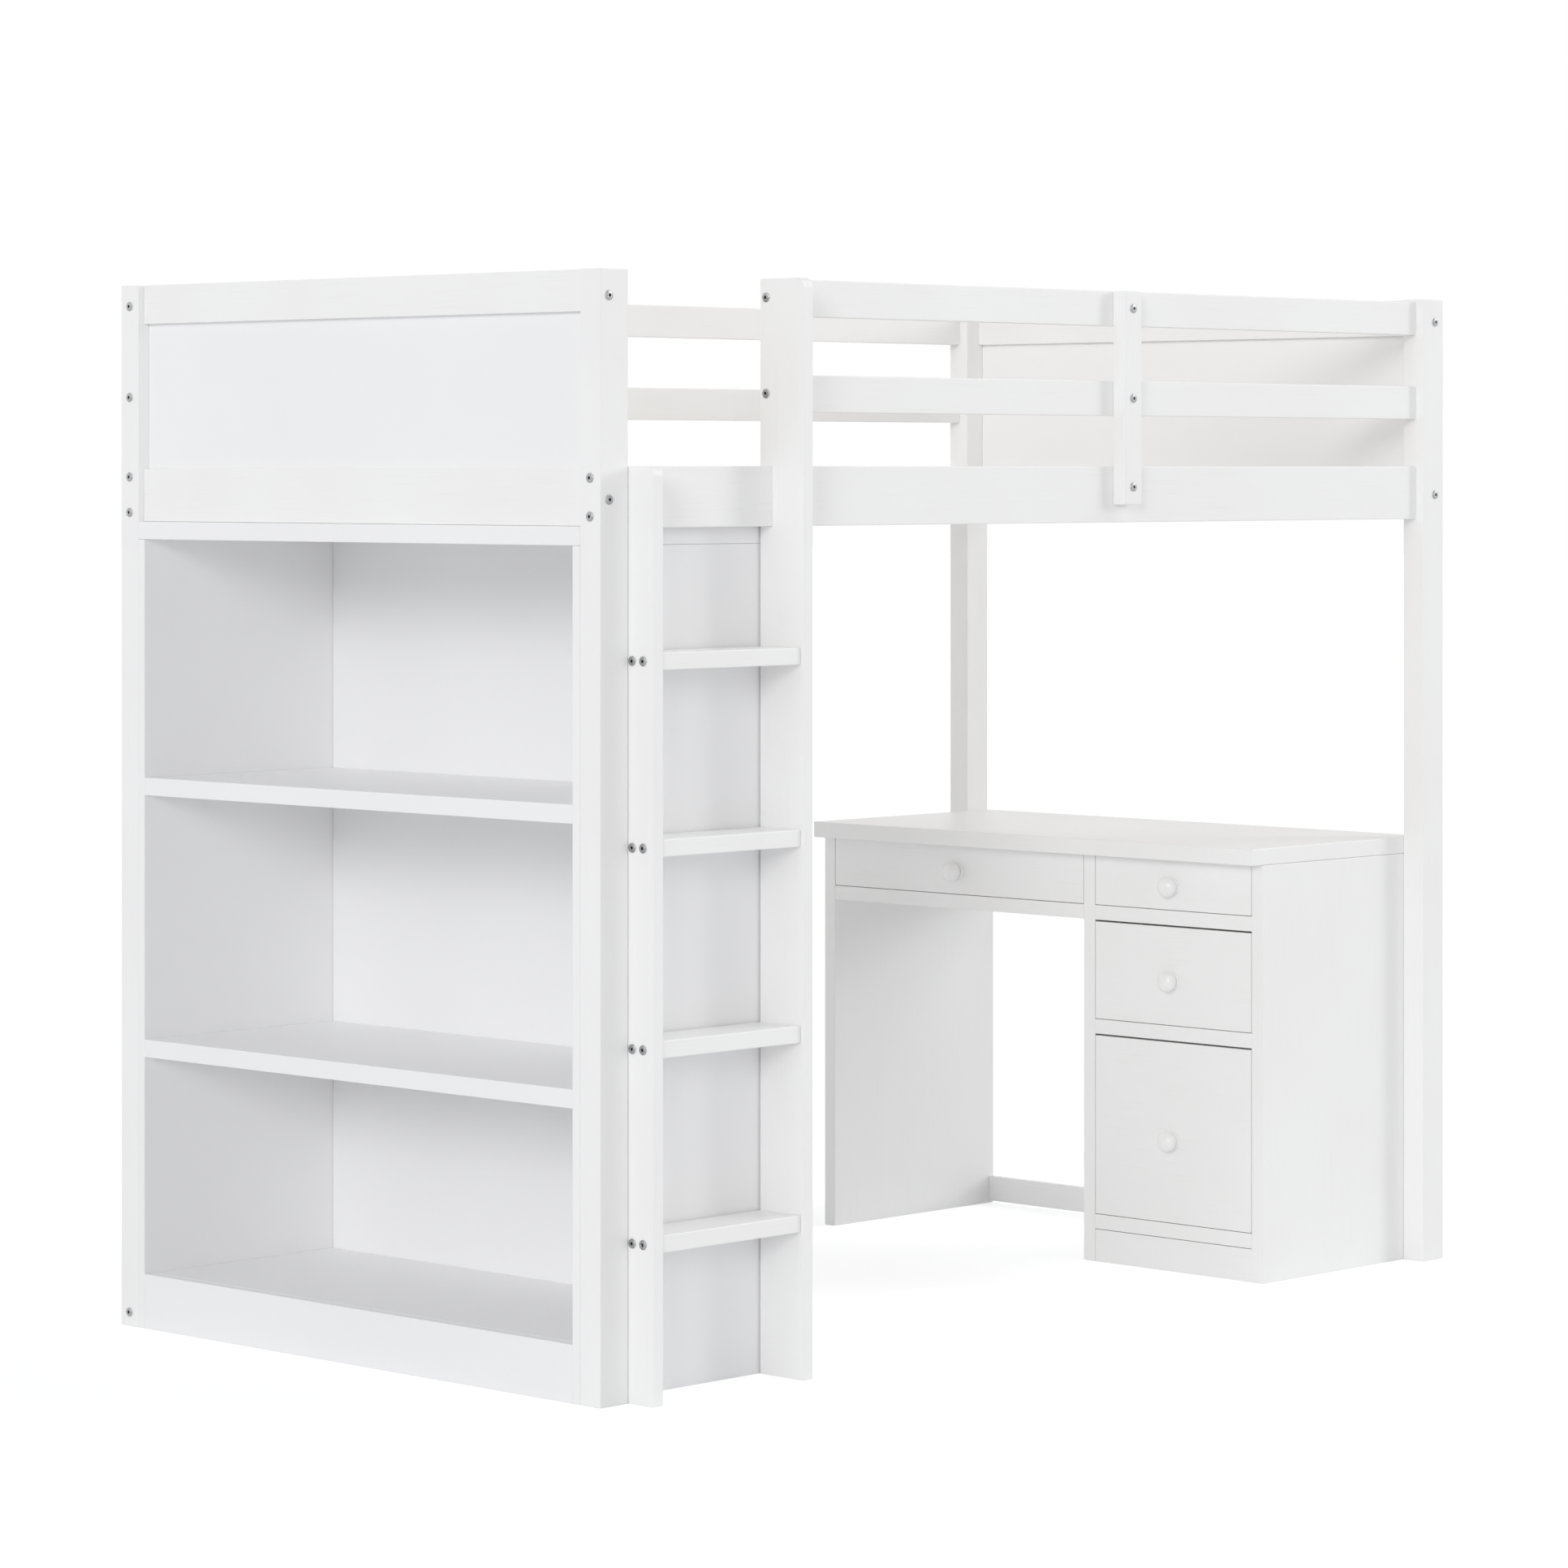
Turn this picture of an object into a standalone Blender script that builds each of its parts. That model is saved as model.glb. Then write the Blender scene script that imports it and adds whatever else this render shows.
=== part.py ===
"""A white loft bed with a ladder, an end bookcase and a desk with four drawers.

Every place is measured from the outer corner of the front left post's foot: X runs along the bed
from the bookcase end to the desk end, Y runs from the ladder side to the wall side, and Z is up.
The empty "loft_bed" then moves the whole bed, so that its origin is at the bottom centre of its box.
"""

import math

import bpy
import bmesh
from mathutils import Vector

# Fits and edges
FIT = 0.0003            # between two faces that touch
EDGE = 0.0016           # rounding of the boards' edges
FINE_EDGE = 0.001       # rounding of the thinner boards' edges

# Whole bed
LENGTH = 2.020
WIDTH = 1.089
HEIGHT = 1.647

# Posts
POST_X = 0.057
POST_Y = 0.042

# Long rails: side rails that carry the slats, and guard rails above them
RAIL_T = 0.024
FRONT_RAIL_INSET = 0.015
SIDE_RAIL_Z = 1.271
SIDE_RAIL_H = 0.090
GUARD_RAIL_H = 0.056
GUARD_RAIL_DROP = 0.005     # from the posts' tops to the top guard rail
GUARD_RAIL_GAP = 0.088      # between the two guard rails

# Upright block on the outside of the front guard rails
GUARD_POST_X = 1.161
GUARD_POST_W = 0.042
GUARD_POST_T = 0.025
GUARD_POST_Z = 1.2995

# Headboard and footboard
END_RAIL_T = 0.025
HEAD_INSET = 0.0115
END_TOP_RAIL_H = 0.061
END_LOW_RAIL_Z = 1.274
END_LOW_RAIL_H = 0.083
PANEL_T = 0.0065
PANEL_REVEAL = 0.010        # from the rails' faces to the panel's face
GROOVE_DEPTH = 0.008

# Ladder
LADDER_GAP = 0.001          # from the post to the first stringer
LADDER_STANDOFF = 0.0505    # in front of the posts
LADDER_CLEAR_W = 0.295      # between the stringers
STRINGER_T = 0.020
STRINGER_ROUND = 0.014
RUNG_T = 0.0255
RUNG_SETBACK = 0.005
RUNG_TOPS = (0.246, 0.528, 0.820, 1.091)

# Slats
LEDGER_W = 0.022
LEDGER_H = 0.025
LEDGER_RAISE = 0.004        # above the side rails' lower edges
SLAT_COUNT = 13
SLAT_W = 0.070
SLAT_T = 0.018
SLAT_END_GAP = 0.045        # from a post to the nearest slat
WEB_W = 0.025
WEB_T = 0.0015
WEB_FROM_RAIL = 0.130

# Bookcase
CASE_DEPTH = 0.400
CASE_SIDE_T = 0.0155
CASE_SHELF_T = 0.028
CASE_BACK_T = 0.0055
CASE_SHELF_TOPS = {"lower": 0.4563, "upper": 0.8697}
PLINTH_H = 0.086
PLINTH_T = 0.018

# Desk
DESK_DEPTH = 0.428          # of its sides, from the drawers' faces to the back
DESK_BACK_INSET = 0.012     # from the bed's end to the back of the desk's sides
DESK_HEIGHT = 0.725
DESK_TOP_T = 0.028
DESK_TOP_OVERHANG = 0.029
DESK_PANEL_T = 0.025
DESK_SHELF_T = 0.025
PEDESTAL_OPENING = 0.343
SHALLOW_OPENING = 0.087     # height of the openings of the wide and the top drawer
MIDDLE_OPENING = 0.170
KICK_H = 0.055
KICK_T = 0.016
KICK_SETBACK = 0.001
KICK_GAP = 0.001
DESK_BACK_T = 0.006
DESK_STRETCHER_T = 0.012
DESK_STRETCHER_H = 0.045
DESK_STRETCHER_Z = 0.004

# Drawers
FRONT_T = 0.020
FRONT_SIDE_GAP = 0.0014
FRONT_FOOT_GAP = 0.001
SHALLOW_HEAD_GAP = 0.002
DEEP_HEAD_GAP = 0.003
TRAY_DEPTH = 0.375
TRAY_WALL = 0.010
TRAY_SIDE_GAP = 0.002
TRAY_FOOT_GAP = 0.0006
TRAY_DROP = 0.014           # from the drawer front's top to the tray's rim
SHALLOW_KNOB_RISE = 0.040   # from the drawer front's foot to the knob's centre
MIDDLE_KNOB_RISE = 0.075
BOTTOM_KNOB_RISE = 0.139

# Knobs
KNOB_R = 0.0172
KNOB_BASE_R = 0.0152
KNOB_NECK_R = 0.0100
KNOB_BASE_T = 0.0035
KNOB_NECK_H = 0.0012
KNOB_WIDEST = 0.0145        # from the drawer front to the head's widest ring
KNOB_LENGTH = 0.0275
KNOB_SIDES = 24
KNOB_RINGS = 5              # rings of each half of the head

# Worked out from the sizes above
ORIGIN = Vector((LENGTH / 2, (WIDTH - LADDER_STANDOFF) / 2, 0))
INNER_X = (POST_X + FIT, LENGTH - POST_X - FIT)
INNER_Y = (POST_Y + FIT, WIDTH - POST_Y - FIT)
FRONT_RAIL_Y = (FRONT_RAIL_INSET, FRONT_RAIL_INSET + RAIL_T)
BACK_RAIL_Y = (WIDTH - RAIL_T, WIDTH)
GUARD_TOP_Z = HEIGHT - GUARD_RAIL_DROP
GUARD_MIDDLE_Z = GUARD_TOP_Z - GUARD_RAIL_H - GUARD_RAIL_GAP
LEFT_STRINGER_X = POST_X + LADDER_GAP
RIGHT_STRINGER_X = LEFT_STRINGER_X + STRINGER_T + LADDER_CLEAR_W
LEDGER_Z = SIDE_RAIL_Z + LEDGER_RAISE
SLAT_Z = LEDGER_Z + LEDGER_H + FIT
CASE_TOP_Z = END_LOW_RAIL_Z - FIT
DESK_BACK_X = LENGTH - DESK_BACK_INSET
DESK_FRONT_X = DESK_BACK_X - DESK_DEPTH
DESK_Y = INNER_Y
PEDESTAL_Y = (DESK_Y[0] + DESK_PANEL_T, DESK_Y[0] + DESK_PANEL_T + PEDESTAL_OPENING)
WIDE_Y = (PEDESTAL_Y[1] + DESK_PANEL_T, DESK_Y[1] - DESK_PANEL_T)
UNDER_TOP_Z = DESK_HEIGHT - DESK_TOP_T
SHALLOW_FLOOR_Z = UNDER_TOP_Z - SHALLOW_OPENING
MIDDLE_FLOOR_Z = SHALLOW_FLOOR_Z - DESK_SHELF_T - MIDDLE_OPENING
BOTTOM_FLOOR_Z = KICK_H + KICK_GAP + DESK_SHELF_T


def clear_scene():
    for obj in list(bpy.data.objects):
        bpy.data.objects.remove(obj)


def finish(name, hex_colour, roughness, metallic=0.0):
    """A Principled material in an sRGB colour."""
    channels = [int(hex_colour[i:i + 2], 16) / 255 for i in (0, 2, 4)]
    linear = [c / 12.92 if c <= 0.04045 else ((c + 0.055) / 1.055) ** 2.4 for c in channels]
    material = bpy.data.materials.new(name)
    material.use_nodes = True
    shader = material.node_tree.nodes["Principled BSDF"]
    shader.inputs["Base Color"].default_value = (*linear, 1)
    shader.inputs["Roughness"].default_value = roughness
    shader.inputs["Metallic"].default_value = metallic
    return material


def collection(name):
    made = bpy.data.collections.new(name)
    bpy.context.scene.collection.children.link(made)
    return made


clear_scene()
BED = collection("loft_bed_with_desk")
TOOLS = collection("joining_shapes")
LACQUER = finish("white_lacquered_wood", "F1F1F1", 0.4)
BOARD = finish("white_coated_board", "EFEFF0", 0.45)
KNOB = finish("white_turned_knob", "F4F4F4", 0.3)
TRAY = finish("white_drawer_lining", "E9E9EA", 0.55)
PINE = finish("bare_pine", "D9BE96", 0.65)


def empty(name, place, parent=None):
    """An empty, at a place in its parent's frame."""
    made = bpy.data.objects.new(name, None)
    BED.objects.link(made)
    made.parent = parent
    made.location = place
    return made


ROOT = empty("loft_bed", -ORIGIN)


def add(name, data, place, parent, material):
    """An object in the bed's collection, at a place measured from the bed's corner."""
    made = bpy.data.objects.new(name, data)
    BED.objects.link(made)
    made.parent = parent
    made.location = Vector(place) - (parent.location if parent.parent else Vector())
    data.materials.append(material)
    return made


def box_mesh(name, size):
    """A cuboid round its own centre."""
    shape = bmesh.new()
    bmesh.ops.create_cube(shape, size=1)
    bmesh.ops.scale(shape, vec=size, verts=shape.verts)
    mesh = bpy.data.meshes.new(name)
    shape.to_mesh(mesh)
    shape.free()
    return mesh


def round_edges(obj, width, segments=2):
    bevel = obj.modifiers.new("rounded_edges", "BEVEL")
    bevel.width = width
    bevel.segments = segments
    bevel.limit_method = "ANGLE"
    bevel.angle_limit = math.radians(50)


def board(name, x, y, z, material=LACQUER, edge=EDGE, segments=2, parent=ROOT):
    """A straight board that fills the ranges x, y and z, with rounded edges."""
    size = [high - low for low, high in (x, y, z)]
    centre = [(high + low) / 2 for low, high in (x, y, z)]
    made = add(name, box_mesh(name, size), centre, parent, material)
    round_edges(made, edge, segments)
    return made


def slab(name, outline, thickness, place, turn, material=LACQUER, edge=EDGE):
    """A flat piece from a closed outline, with rounded edges: turn lays the outline's plane."""
    curve = bpy.data.curves.new(name, "CURVE")
    curve.dimensions = "2D"
    curve.fill_mode = "BOTH"
    curve.extrude = thickness / 2
    line = curve.splines.new("POLY")
    line.points.add(len(outline) - 1)
    for point, (across, up) in zip(line.points, outline):
        point.co = (across, up, 0, 1)
    line.use_cyclic_u = True
    made = add(name, curve, place, ROOT, material)
    made.rotation_euler = turn
    weld = made.modifiers.new("closed_caps", "WELD")
    weld.merge_threshold = 0.00005
    round_edges(made, edge)
    return made


ACROSS_X = (math.pi / 2, 0, math.pi / 2)    # outline in Y and Z, thickness along X
ACROSS_Y = (math.pi / 2, 0, 0)              # outline in X and Z, thickness along Y


# ---------------------------------------------------------------- bed frame

def posts():
    ends = {"left": (0, POST_X), "right": (LENGTH - POST_X, LENGTH)}
    sides = {"front": (0, POST_Y), "back": (WIDTH - POST_Y, WIDTH)}
    for side, y in sides.items():
        for end, x in ends.items():
            board(f"post_{side}_{end}", x, y, (0, HEIGHT))


def long_rails():
    """The two side rails, the guard rails and the upright block that ties the front ones."""
    after_ladder = (RIGHT_STRINGER_X + STRINGER_T + FIT, INNER_X[1])
    side_z = (SIDE_RAIL_Z, SIDE_RAIL_Z + SIDE_RAIL_H)
    guard_z = {
        "top": (GUARD_TOP_Z - GUARD_RAIL_H, GUARD_TOP_Z),
        "middle": (GUARD_MIDDLE_Z - GUARD_RAIL_H, GUARD_MIDDLE_Z),
    }
    board("side_rail_front", INNER_X, FRONT_RAIL_Y, side_z)
    board("side_rail_back", INNER_X, BACK_RAIL_Y, side_z)
    for level, z in guard_z.items():
        board(f"guard_rail_front_{level}", after_ladder, FRONT_RAIL_Y, z)
        board(f"guard_rail_back_{level}", INNER_X, BACK_RAIL_Y, z)
    block_y = (FRONT_RAIL_INSET - FIT - GUARD_POST_T, FRONT_RAIL_INSET - FIT)
    block_x = (GUARD_POST_X, GUARD_POST_X + GUARD_POST_W)
    board("guard_post", block_x, block_y, (GUARD_POST_Z, GUARD_TOP_Z))


def grooved_rail(name, face_x, inward, z, groove_up):
    """A rail across the bed's end, with a groove for the panel in one edge.

    face_x is the face that shows the panel's reveal, and inward is the way from it into the wood.
    """
    low, high = z
    edge_z, floor_z = (high, high - GROOVE_DEPTH) if groove_up else (low, low + GROOVE_DEPTH)
    far_z = low if groove_up else high
    near_wall = PANEL_REVEAL - FIT
    far_wall = PANEL_REVEAL + PANEL_T + FIT
    outline = [(0, far_z), (END_RAIL_T, far_z), (END_RAIL_T, edge_z), (far_wall, edge_z),
               (far_wall, floor_z), (near_wall, floor_z), (near_wall, edge_z), (0, edge_z)]
    outline = [(inward * across, up) for across, up in outline]
    middle = (face_x, WIDTH / 2, 0)
    slab(name, outline, INNER_Y[1] - INNER_Y[0], middle, ACROSS_Y, edge=FINE_EDGE)


def end_boards():
    """Headboard and footboard, each two rails with a thin panel in their grooves."""
    faces = {"headboard": (HEAD_INSET, 1), "footboard": (LENGTH - END_RAIL_T, 1)}
    low_z = (END_LOW_RAIL_Z, END_LOW_RAIL_Z + END_LOW_RAIL_H)
    top_z = (HEIGHT - END_TOP_RAIL_H, HEIGHT)
    panel_z = (low_z[1] - GROOVE_DEPTH + FIT, top_z[0] + GROOVE_DEPTH - FIT)
    for name, (face_x, inward) in faces.items():
        grooved_rail(f"{name}_top_rail", face_x, inward, top_z, False)
        grooved_rail(f"{name}_low_rail", face_x, inward, low_z, True)
        panel_x = (face_x + PANEL_REVEAL, face_x + PANEL_REVEAL + PANEL_T)
        board(f"{name}_panel", panel_x, INNER_Y, panel_z, BOARD, FINE_EDGE, 1)


# ---------------------------------------------------------------- ladder

def rounded_corner(corner, radius, steps=6):
    """Points of the arc that rounds the upper front corner, from its front end to its top end."""
    centre = (corner[0] + radius, corner[1] - radius)
    turns = [math.pi - math.pi / 2 * i / steps for i in range(steps + 1)]
    return [(centre[0] + radius * math.cos(a), centre[1] + radius * math.sin(a)) for a in turns]


def stringer(name, low_x, top_z):
    """An upright of the ladder, notched at its back to fit round the side rail."""
    front, back = -LADDER_STANDOFF, FRONT_RAIL_Y[1]
    notch_y = FRONT_RAIL_Y[0] - FIT
    notch_low = SIDE_RAIL_Z - FIT
    notch_high = SIDE_RAIL_Z + SIDE_RAIL_H + FIT
    outline = rounded_corner((front, top_z), STRINGER_ROUND)
    if top_z > notch_high:
        outline += [(back, top_z), (back, notch_high), (notch_y, notch_high)]
    else:
        outline += [(notch_y, top_z)]
    outline += [(notch_y, notch_low), (back, notch_low), (back, 0), (front, 0)]
    slab(name, outline, STRINGER_T, (low_x + STRINGER_T / 2, 0, 0), ACROSS_X)


def ladder():
    stringer("ladder_stringer_left", LEFT_STRINGER_X, SIDE_RAIL_Z + SIDE_RAIL_H)
    stringer("ladder_stringer_right", RIGHT_STRINGER_X, GUARD_TOP_Z)
    rung_x = (LEFT_STRINGER_X + STRINGER_T + FIT, RIGHT_STRINGER_X - FIT)
    rung_y = (RUNG_SETBACK - LADDER_STANDOFF, FRONT_RAIL_Y[1])
    for number, top in enumerate(RUNG_TOPS, 1):
        board(f"ladder_rung_{number}", rung_x, rung_y, (top - RUNG_T, top))


# ---------------------------------------------------------------- slats

def slats():
    """Two ledgers inside the side rails, and a roll of slats held together by two webs."""
    front_y = FRONT_RAIL_Y[1] + FIT
    back_y = BACK_RAIL_Y[0] - FIT
    ledger_z = (LEDGER_Z, LEDGER_Z + LEDGER_H)
    board("slat_ledger_front", INNER_X, (front_y, front_y + LEDGER_W), ledger_z, PINE, FINE_EDGE, 1)
    board("slat_ledger_back", INNER_X, (back_y - LEDGER_W, back_y), ledger_z, PINE, FINE_EDGE, 1)

    first_x = POST_X + SLAT_END_GAP
    last_x = LENGTH - POST_X - SLAT_END_GAP - SLAT_W
    span = last_x - first_x
    slat_size = (SLAT_W, back_y - front_y, SLAT_T)
    centre = (first_x + SLAT_W / 2, (front_y + back_y) / 2, SLAT_Z + SLAT_T / 2)
    roll = add("slat_roll", box_mesh("slat_roll", slat_size), centre, ROOT, PINE)
    copies = roll.modifiers.new("slats", "ARRAY")
    copies.count = SLAT_COUNT
    copies.use_relative_offset = False
    copies.use_constant_offset = True
    copies.constant_offset_displace = (span / (SLAT_COUNT - 1), 0, 0)
    for side, y in (("front", front_y + WEB_FROM_RAIL), ("back", back_y - WEB_FROM_RAIL)):
        size = (span + SLAT_W, WEB_W, 2 * WEB_T)
        place = (first_x + (span + SLAT_W) / 2, y, SLAT_Z + SLAT_T)
        web = add(f"web_{side}", box_mesh(f"web_{side}", size), place, ROOT, PINE)
        BED.objects.unlink(web)
        TOOLS.objects.link(web)
        web.hide_render = True
        web.display_type = "WIRE"
        union = roll.modifiers.new(f"join_{side}_web", "BOOLEAN")
        union.operation = "UNION"
        union.object = web


# ---------------------------------------------------------------- bookcase

def bookcase():
    """A three-space case between the two end posts, open to the bed's end."""
    under_top = CASE_TOP_Z - CASE_SHELF_T
    depth = (0, CASE_DEPTH)
    inner_depth = (0, CASE_DEPTH - CASE_BACK_T - FIT)
    inner_y = (INNER_Y[0] + CASE_SIDE_T + FIT, INNER_Y[1] - CASE_SIDE_T - FIT)
    sides = {
        "front": (INNER_Y[0], INNER_Y[0] + CASE_SIDE_T),
        "back": (INNER_Y[1] - CASE_SIDE_T, INNER_Y[1]),
    }
    board("bookcase_top", depth, INNER_Y, (under_top, CASE_TOP_Z), BOARD, FINE_EDGE)
    for side, y in sides.items():
        board(f"bookcase_side_{side}", depth, y, (0, under_top - FIT), BOARD, FINE_EDGE)
    for level, top in CASE_SHELF_TOPS.items():
        shelf_z = (top - CASE_SHELF_T, top)
        board(f"bookcase_shelf_{level}", inner_depth, inner_y, shelf_z, BOARD, FINE_EDGE)
    board("bookcase_plinth", (0, PLINTH_T), inner_y, (0, PLINTH_H), BOARD, FINE_EDGE)
    floor_x = (PLINTH_T + FIT, inner_depth[1])
    board("bookcase_floor", floor_x, inner_y, (PLINTH_H - CASE_SHELF_T, PLINTH_H), BOARD, FINE_EDGE, 1)
    back_x = (CASE_DEPTH - CASE_BACK_T, CASE_DEPTH)
    board("bookcase_back", back_x, inner_y, (0, under_top - FIT), BOARD, FINE_EDGE, 1)


# ---------------------------------------------------------------- desk

def desk():
    """The fixed pieces of the desk, which stands across the bed under its other end."""
    body_x = (DESK_FRONT_X, DESK_BACK_X)
    under_top = UNDER_TOP_Z - FIT
    pedestal_y = (PEDESTAL_Y[0] + FIT, PEDESTAL_Y[1] - FIT)
    wide_y = (WIDE_Y[0] + FIT, WIDE_Y[1] - FIT)
    uprights = {
        "desk_side_front": (DESK_Y[0], PEDESTAL_Y[0]),
        "desk_divider": (PEDESTAL_Y[1], WIDE_Y[0]),
        "desk_side_back": (WIDE_Y[1], DESK_Y[1]),
    }
    top_x = (DESK_FRONT_X - DESK_TOP_OVERHANG, LENGTH)
    board("desk_top", top_x, DESK_Y, (UNDER_TOP_Z, DESK_HEIGHT), LACQUER, EDGE)
    for name, y in uprights.items():
        board(name, body_x, y, (0, under_top), LACQUER, FINE_EDGE)

    shelf_x = (DESK_FRONT_X, DESK_BACK_X - DESK_BACK_T - FIT)
    floors = {"upper": SHALLOW_FLOOR_Z, "middle": MIDDLE_FLOOR_Z, "lower": BOTTOM_FLOOR_Z}
    for level, top in floors.items():
        shelf_z = (top - DESK_SHELF_T, top)
        board(f"pedestal_shelf_{level}", shelf_x, pedestal_y, shelf_z, LACQUER, FINE_EDGE)
    wide_shelf_z = (SHALLOW_FLOOR_Z - DESK_SHELF_T, SHALLOW_FLOOR_Z)
    board("wide_drawer_shelf", body_x, wide_y, wide_shelf_z, LACQUER, FINE_EDGE)

    kick_x = (DESK_FRONT_X + KICK_SETBACK, DESK_FRONT_X + KICK_SETBACK + KICK_T)
    board("kick_board", kick_x, pedestal_y, (0, KICK_H), LACQUER, FINE_EDGE)
    back_x = (DESK_BACK_X - DESK_BACK_T, DESK_BACK_X)
    board("pedestal_back", back_x, pedestal_y, (DESK_STRETCHER_Z, under_top), BOARD, FINE_EDGE, 1)
    brace_x = (DESK_BACK_X - DESK_STRETCHER_T, DESK_BACK_X)
    stretcher_z = (DESK_STRETCHER_Z, DESK_STRETCHER_Z + DESK_STRETCHER_H)
    board("desk_stretcher", brace_x, wide_y, stretcher_z, LACQUER, FINE_EDGE)
    apron_z = (SHALLOW_FLOOR_Z + FIT, under_top)
    board("desk_back_apron", brace_x, wide_y, apron_z, LACQUER, FINE_EDGE, 1)


# ---------------------------------------------------------------- drawers

def tray(name, x, y, z, parent):
    """An open box with walls of one thickness, made inwards from its outer skin."""
    size = [high - low for low, high in (x, y, z)]
    centre = [(high + low) / 2 for low, high in (x, y, z)]
    mesh = box_mesh(name, size)
    shape = bmesh.new()
    shape.from_mesh(mesh)
    lid = [face for face in shape.faces if face.normal.z > 0.5]
    bmesh.ops.delete(shape, geom=lid, context="FACES_ONLY")
    shape.to_mesh(mesh)
    shape.free()
    made = add(name, mesh, centre, parent, TRAY)
    walls = made.modifiers.new("walls", "SOLIDIFY")
    walls.thickness = TRAY_WALL
    walls.offset = -1
    walls.use_even_offset = True
    return made


def knob_profile():
    """The turned outline, from the tip down the outer side to the middle of the base.

    The head is two quarter ellipses: the dome, and the cheek that curls in to the neck.
    """
    turns = [math.pi / 2 * ring / KNOB_RINGS for ring in range(KNOB_RINGS + 1)]
    dome = KNOB_LENGTH - KNOB_WIDEST
    cheek = KNOB_WIDEST - KNOB_BASE_T - KNOB_NECK_H
    overhang = KNOB_R - KNOB_NECK_R
    points = [(KNOB_R * math.sin(a), KNOB_WIDEST + dome * math.cos(a)) for a in turns]
    points += [(KNOB_NECK_R + overhang * math.cos(a), KNOB_WIDEST - cheek * math.sin(a)) for a in turns[1:]]
    points += [(KNOB_NECK_R, KNOB_BASE_T), (KNOB_BASE_R, KNOB_BASE_T * 0.7), (KNOB_BASE_R, 0), (0, 0)]
    return points


def knob(name, place, parent):
    points = knob_profile()
    mesh = bpy.data.meshes.new(name)
    mesh.from_pydata([(r, 0, up) for r, up in points], [(i, i + 1) for i in range(len(points) - 1)], [])
    made = add(name, mesh, place, parent, KNOB)
    made.rotation_euler = (0, -math.pi / 2, 0)
    turned = made.modifiers.new("turned", "SCREW")
    turned.angle = 2 * math.pi
    turned.steps = KNOB_SIDES
    turned.render_steps = KNOB_SIDES
    turned.use_merge_vertices = True
    turned.merge_threshold = 0.00005
    turned.use_smooth_shade = True
    return made


def drawer(name, opening_y, floor_z, head_z, head_gap, knob_rise):
    """One drawer: its front, its tray and its knob ride on an empty on the slide's line."""
    middle_y = (opening_y[0] + opening_y[1]) / 2
    runner = empty(f"{name}_slide", (DESK_FRONT_X, middle_y, floor_z), ROOT)
    front_x = (DESK_FRONT_X, DESK_FRONT_X + FRONT_T)
    front_y = (opening_y[0] + FRONT_SIDE_GAP, opening_y[1] - FRONT_SIDE_GAP)
    front_z = (floor_z + FRONT_FOOT_GAP, head_z - head_gap)
    board(f"{name}_front", front_x, front_y, front_z, LACQUER, FINE_EDGE, parent=runner)
    tray_x = (front_x[1] + FIT, front_x[1] + FIT + TRAY_DEPTH)
    tray_y = (opening_y[0] + TRAY_SIDE_GAP, opening_y[1] - TRAY_SIDE_GAP)
    tray_z = (floor_z + TRAY_FOOT_GAP, front_z[1] - TRAY_DROP)
    tray(f"{name}_tray", tray_x, tray_y, tray_z, runner)
    knob_place = (DESK_FRONT_X - FIT, middle_y, front_z[0] + knob_rise)
    knob(f"{name}_knob", knob_place, runner)


def drawers():
    middle_head = SHALLOW_FLOOR_Z - DESK_SHELF_T
    bottom_head = MIDDLE_FLOOR_Z - DESK_SHELF_T
    for name, opening_y in (("wide_drawer", WIDE_Y), ("top_drawer", PEDESTAL_Y)):
        drawer(name, opening_y, SHALLOW_FLOOR_Z, UNDER_TOP_Z, SHALLOW_HEAD_GAP, SHALLOW_KNOB_RISE)
    drawer("middle_drawer", PEDESTAL_Y, MIDDLE_FLOOR_Z, middle_head, DEEP_HEAD_GAP, MIDDLE_KNOB_RISE)
    drawer("bottom_drawer", PEDESTAL_Y, BOTTOM_FLOOR_Z, bottom_head, DEEP_HEAD_GAP, BOTTOM_KNOB_RISE)


posts()
long_rails()
end_boards()
ladder()
slats()
bookcase()
desk()
drawers()
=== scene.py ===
"""Looks of the white loft bed: lacquered frame and ladder, coated bookcase, desk with four drawers.

The frame's boards keep their CAD shape and get their finishes here. New pieces stand for the knobs,
the drawers' boxes and the roll of slats, and the bolt heads are added. Lengths are in metres.
"""

import math

import bmesh
import bpy
import numpy as np
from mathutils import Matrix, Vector


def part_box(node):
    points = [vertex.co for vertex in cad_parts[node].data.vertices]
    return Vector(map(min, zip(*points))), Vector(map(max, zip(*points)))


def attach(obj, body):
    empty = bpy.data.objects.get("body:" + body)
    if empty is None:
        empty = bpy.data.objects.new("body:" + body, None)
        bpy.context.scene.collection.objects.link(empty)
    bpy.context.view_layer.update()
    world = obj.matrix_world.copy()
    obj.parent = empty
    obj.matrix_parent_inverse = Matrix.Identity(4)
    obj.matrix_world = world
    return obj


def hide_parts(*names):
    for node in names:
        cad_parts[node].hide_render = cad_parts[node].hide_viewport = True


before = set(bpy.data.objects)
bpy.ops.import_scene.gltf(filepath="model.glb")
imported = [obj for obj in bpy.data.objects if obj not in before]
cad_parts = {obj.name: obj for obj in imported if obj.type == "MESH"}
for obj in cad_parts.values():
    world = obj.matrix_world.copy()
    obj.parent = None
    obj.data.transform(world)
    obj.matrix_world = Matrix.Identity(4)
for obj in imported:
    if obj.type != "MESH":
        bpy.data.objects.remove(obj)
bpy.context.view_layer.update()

BED = "bed"
DRAWERS = ("wide_drawer", "top_drawer", "middle_drawer", "bottom_drawer")
X, Y, Z = np.eye(3)

# Camera: level, with its frame shifted down to take in the floor
CAMERA_PLACE = (-6.345, -6.007, 1.3585)
CAMERA_TURN = math.radians(43.82)
LENS_MM = 121.63
SENSOR_MM = 36.0
SHIFT_DOWN = 0.2016

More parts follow.
